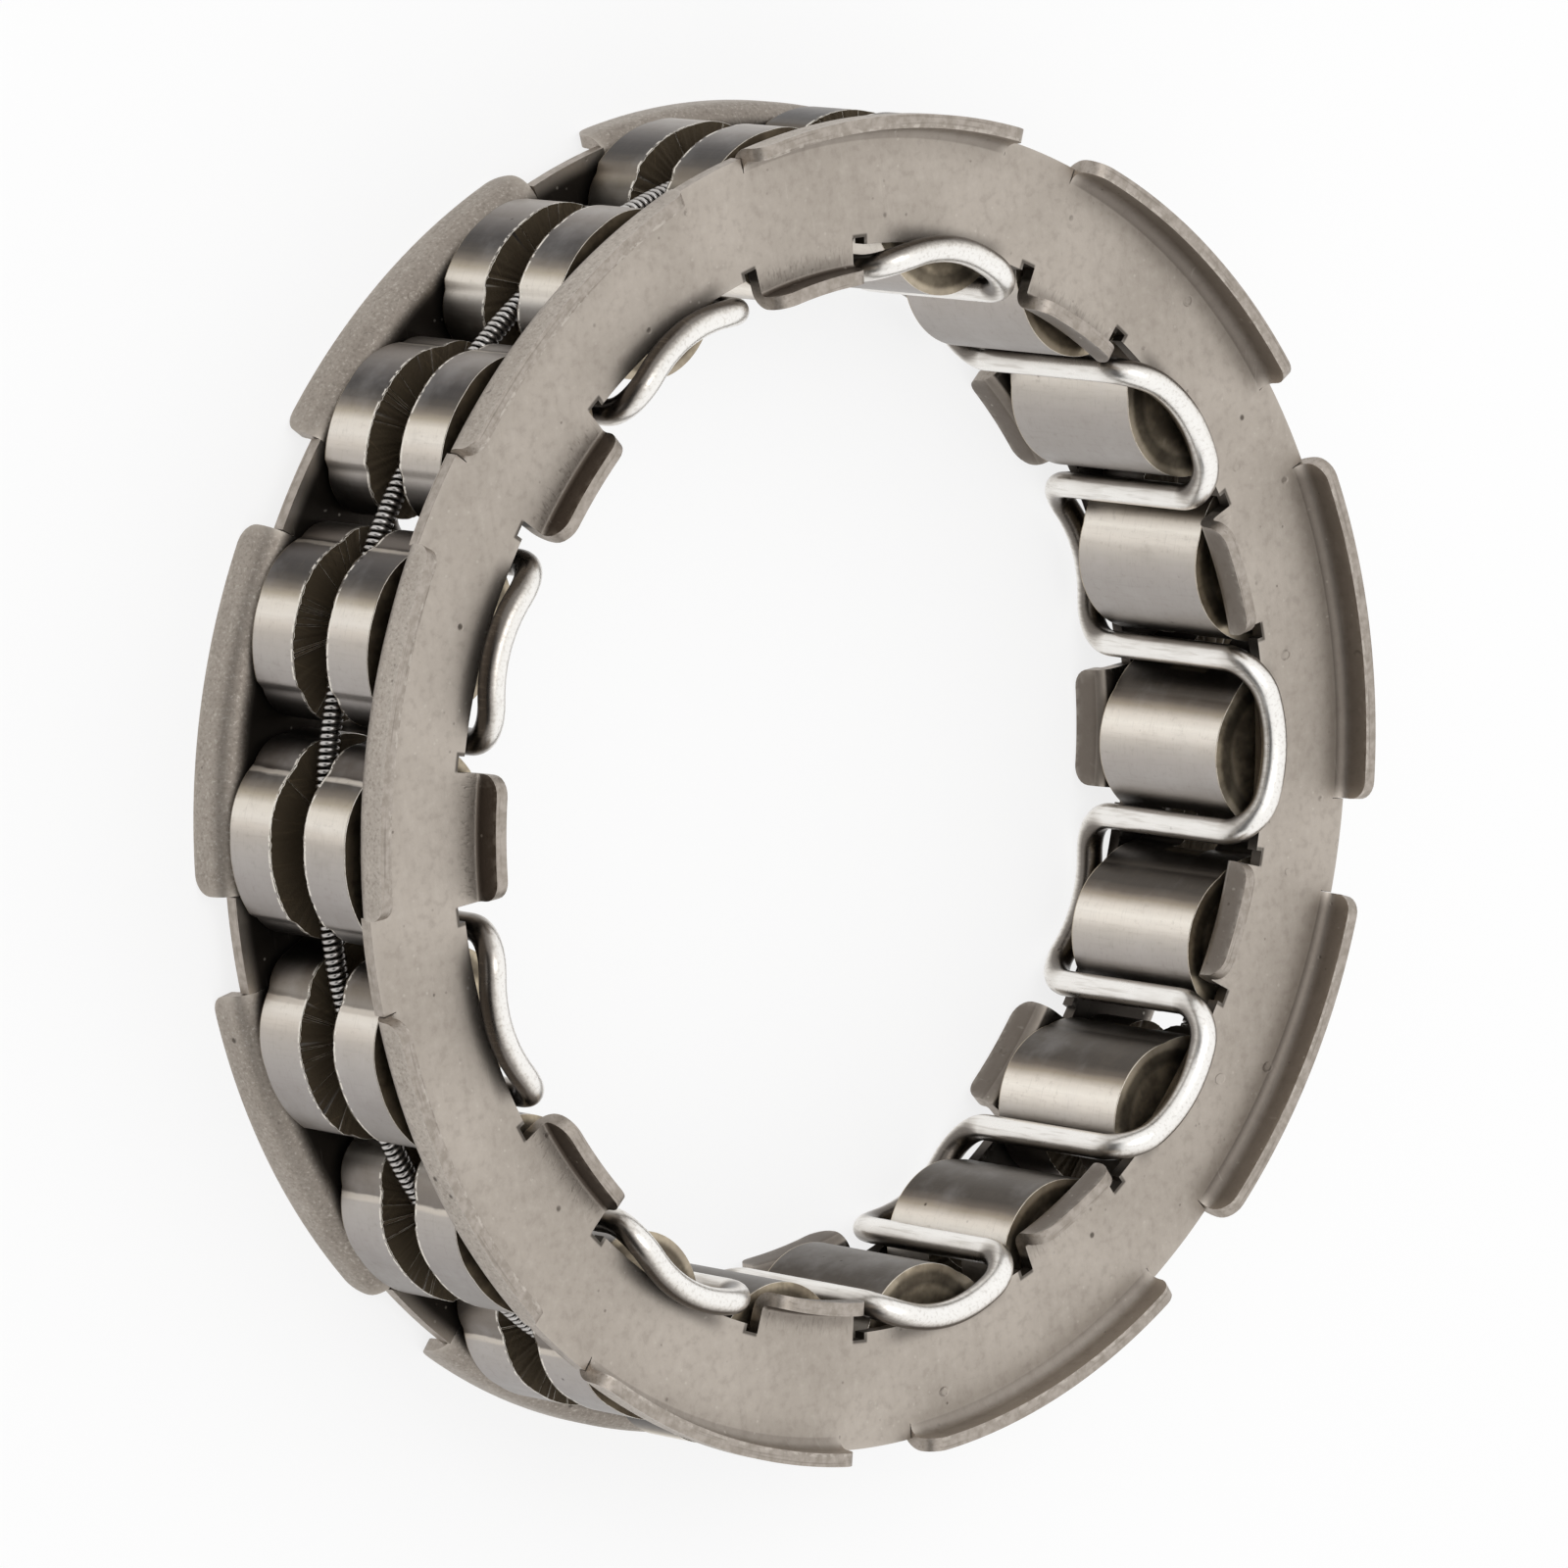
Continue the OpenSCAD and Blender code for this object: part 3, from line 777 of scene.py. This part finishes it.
def tube(path, out, radius, sides):
    """Points of a round tube along a closed path: path + radius (cos w n + sin w b) for w round the tube.

    n is the outward direction with its part along the path taken off, and b is the cross product of the
    path's direction and n."""
    ahead = np.roll(path, -1, axis=0) - np.roll(path, 1, axis=0)
    ahead /= np.linalg.norm(ahead, axis=1)[:, None]
    n = out - (out * ahead).sum(axis=1)[:, None] * ahead
    n /= np.linalg.norm(n, axis=1)[:, None]
    b = np.cross(ahead, n)
    w = 2 * np.pi * (np.arange(sides) + 0.5) / sides
    ring = np.cos(w)[None, :, None] * n[:, None, :] + np.sin(w)[None, :, None] * b[:, None, :]
    return (path[:, None, :] + radius * ring).reshape(-1, 3)


def make_wire(materials):
    """The closed serpentine wire: axial runs between the sprags, loops over each plate in turn.

    In one loop the sideways place s runs from one run to the next through a quarter bend, a chord and a
    quarter bend; the distance from the axis is the run's plus a lean that falls off as s squared."""
    steps, sides = 15, 24
    q = np.linspace(0, np.pi / 2, steps)
    chord = np.linspace(-1, 1, steps)[1:-1] * (RUN_HALF - WIRE_BEND)
    rise_s, rise_z = -RUN_HALF + WIRE_BEND * (1 - np.cos(q)), LOOP_Z - WIRE_BEND * (1 - np.sin(q))
    side = np.concatenate([rise_s, chord, -rise_s[::-1]])
    height = np.concatenate([rise_z, np.full(len(chord), LOOP_Z), rise_z[::-1]])
    k = np.arange(SPRAGS)[:, None]
    angle = np.radians(SPRAG_PITCH * (k + 0.5)) + np.arcsin(side / RUN_R)[None, :]
    r = RUN_R + LOOP_LEAN * (1 - (side / RUN_HALF) ** 2)[None, :]
    z = np.where(k % 2 == 0, -1, 1) * height[None, :]
    path = np.stack([r * np.cos(angle), r * np.sin(angle), z], axis=-1).reshape(-1, 3)
    out = path * np.array([1, 1, 0])
    out /= np.linalg.norm(out, axis=1)[:, None]
    points = tube(path, out, WIRE_R, sides)
    faces = quads(len(path), sides, True, True).reshape(-1, 4)

    # The value round the wire that its painted highlight and shade follow: by the distance from the axis on
    # the runs, by the side that faces the plate on the loops
    round_it = (points.reshape(len(path), sides, 3) - path[:, None, :]) / WIRE_R
    outward = (round_it * out[:, None, :]).sum(axis=2)
    downward = 0.4 * outward - 0.85 * round_it[..., 2] * np.sign(path[:, 2])[:, None]
    loop = np.clip((np.abs(path[:, 2]) - 3.5) / 2.2, 0, 1)[:, None]
    inner = (1 - loop) * (0.35 * outward - 0.78) + loop * downward
    new_piece("serpentine_wire", points, faces, materials, "cage", "wire_retainer",
              {"inner": inner.ravel()})


def make_coil(materials):
    """The garter spring: a helix on a ring, r = R + h cos p and z = -h sin p, turned COIL_TURNS times."""
    steps, sides = 12, 6
    count = COIL_TURNS * steps
    t = np.arange(count) / count * 2 * np.pi
    p = t * COIL_TURNS
    h = COIL_R - COIL_WIRE_R
    radial = np.stack([np.cos(t), np.sin(t), 0 * t], axis=-1)
    out = radial * np.cos(p)[:, None] - np.array([0, 0, 1]) * np.sin(p)[:, None]
    path = radial * COIL_RING_R + out * h
    points = tube(path, out, COIL_WIRE_R, sides)
    faces = quads(count, sides, True, True).reshape(-1, 4)
    w = 2 * np.pi * (np.arange(sides) + 0.5) / sides
    # Painted shade on the side of the wire that faces into the coil, between the turns
    hollow = np.tile(np.clip(0.45 - 0.6 * np.cos(w), 0, 1), count)
    new_piece("coiled_garter", points, faces, materials, "cage", "garter_spring",
              {"hollow": hollow})


def make_camera():
    """The photograph's view, fitted to the ring: a long lens 641 mm away."""
    lens = bpy.data.cameras.new("camera")
    lens.lens = CAMERA_LENS
    lens.sensor_width = CAMERA_SENSOR
    lens.clip_start, lens.clip_end = CAMERA_CLIP
    camera = link_new("camera", lens)
    camera.location = CAMERA_AT
    camera.rotation_euler = [math.radians(v) for v in CAMERA_TURN]
    bpy.context.scene.camera = camera


def flat_sheet(name, corners, material):
    """A flat four-cornered object, with its corners in metres."""
    mesh = bpy.data.meshes.new(name)
    mesh.from_pydata(corners, [], [(0, 1, 2, 3)])
    mesh.materials.append(material)
    return link_new(name, mesh)


def make_floor():
    """A wide pale floor under the ring; the background rays see mostly plain white and a little shadow.

    From below the floor is clear, so that the ring's lower side can be looked at."""
    f = Finish(bpy.data.materials.new("pale_floor"))
    lit = f.node("ShaderNodeBsdfDiffuse", {}, {"Color": FLOOR_GREY})
    white = f.node("ShaderNodeEmission", {}, {"Color": WHITE, "Strength": 1.0})
    camera, glossy, clear = [f.node("ShaderNodeLightPath", output=f"Is {ray} Ray")
                             for ray in ("Camera", "Glossy", "Transmission")]
    share = (camera * 0.8 + glossy * 0.85 + clear * 0.8).clamp()
    pale = f.node("ShaderNodeMixShader", {}, {0: share, 1: lit, 2: white})
    below = f.node("ShaderNodeNewGeometry", output="Backfacing")
    f.show(f.node("ShaderNodeMixShader", {}, {0: below, 1: pale, 2: f.node("ShaderNodeBsdfTransparent")}))
    h, z = FLOOR_HALF, FLOOR_Z
    floor = flat_sheet("floor", [(-h, -h, z), (h, -h, z), (h, h, z), (-h, h, z)], f.owner)


def make_dark_card():
    """An upright dark card beside the ring, for the dark line that bright wire shows; no camera sees it."""
    x, y, z = CARD_AT
    half, rise = CARD_WIDTH / 2, CARD_HEIGHT / 2
    near, far, low, high = y - half, y + half, z - rise, z + rise
    f = Finish(bpy.data.materials.new("dark_card"))
    f.show(f.node("ShaderNodeBsdfDiffuse", {}, {"Color": CARD_GREY}))
    corners = [(x, near, low), (x, far, low), (x, far, high), (x, near, high)]
    card = flat_sheet("left_card", corners, f.owner)
    card.visible_camera = False
    card.visible_shadow = False


def make_world():
    """A plain white room, the same for every ray."""
    world = bpy.data.worlds.new("room")
    bpy.context.scene.world = world
    f = Finish(world)
    f.show(f.node("ShaderNodeBackground", {}, {"Color": WHITE, "Strength": 1.0}), "ShaderNodeOutputWorld")


def make_lamp():
    """A soft square area lamp above the ring that looks at its middle."""
    lamp = bpy.data.lights.new("top_softbox", "AREA")
    lamp.shape = "SQUARE"
    lamp.size = LAMP_SIZE
    lamp.energy = LAMP_POWER
    holder = link_new("top_softbox", lamp)
    holder.location = LAMP_AT
    holder.rotation_euler = Vector(LAMP_AT).to_track_quat("Z", "Y").to_euler()


edge_material = cut_finish()
# Both plates are one steel: the two numbers set painted shade, over the whole plate behind and on the side
# of each that faces the sprags
front_materials = [plate_finish("tumbled_sheet_steel", 0.0, 0.55), edge_material]
make_plate("front_plate_sheet", "front_plate", False, front_materials)
back_materials = [plate_finish("shaded_sheet_steel", 0.2, 0.95), edge_material]
make_plate("back_plate_sheet", "back_plate", True, back_materials)
make_wire([wire_finish()])
make_coil([coil_finish()])
sprag_materials = [sprag_finish(), burr_finish()]
for number in range(1, SPRAGS + 1):
    make_sprag(number, sprag_materials)

make_camera()
make_floor()
make_world()
make_dark_card()
make_lamp()
bpy.context.scene.view_settings.view_transform = "Standard"
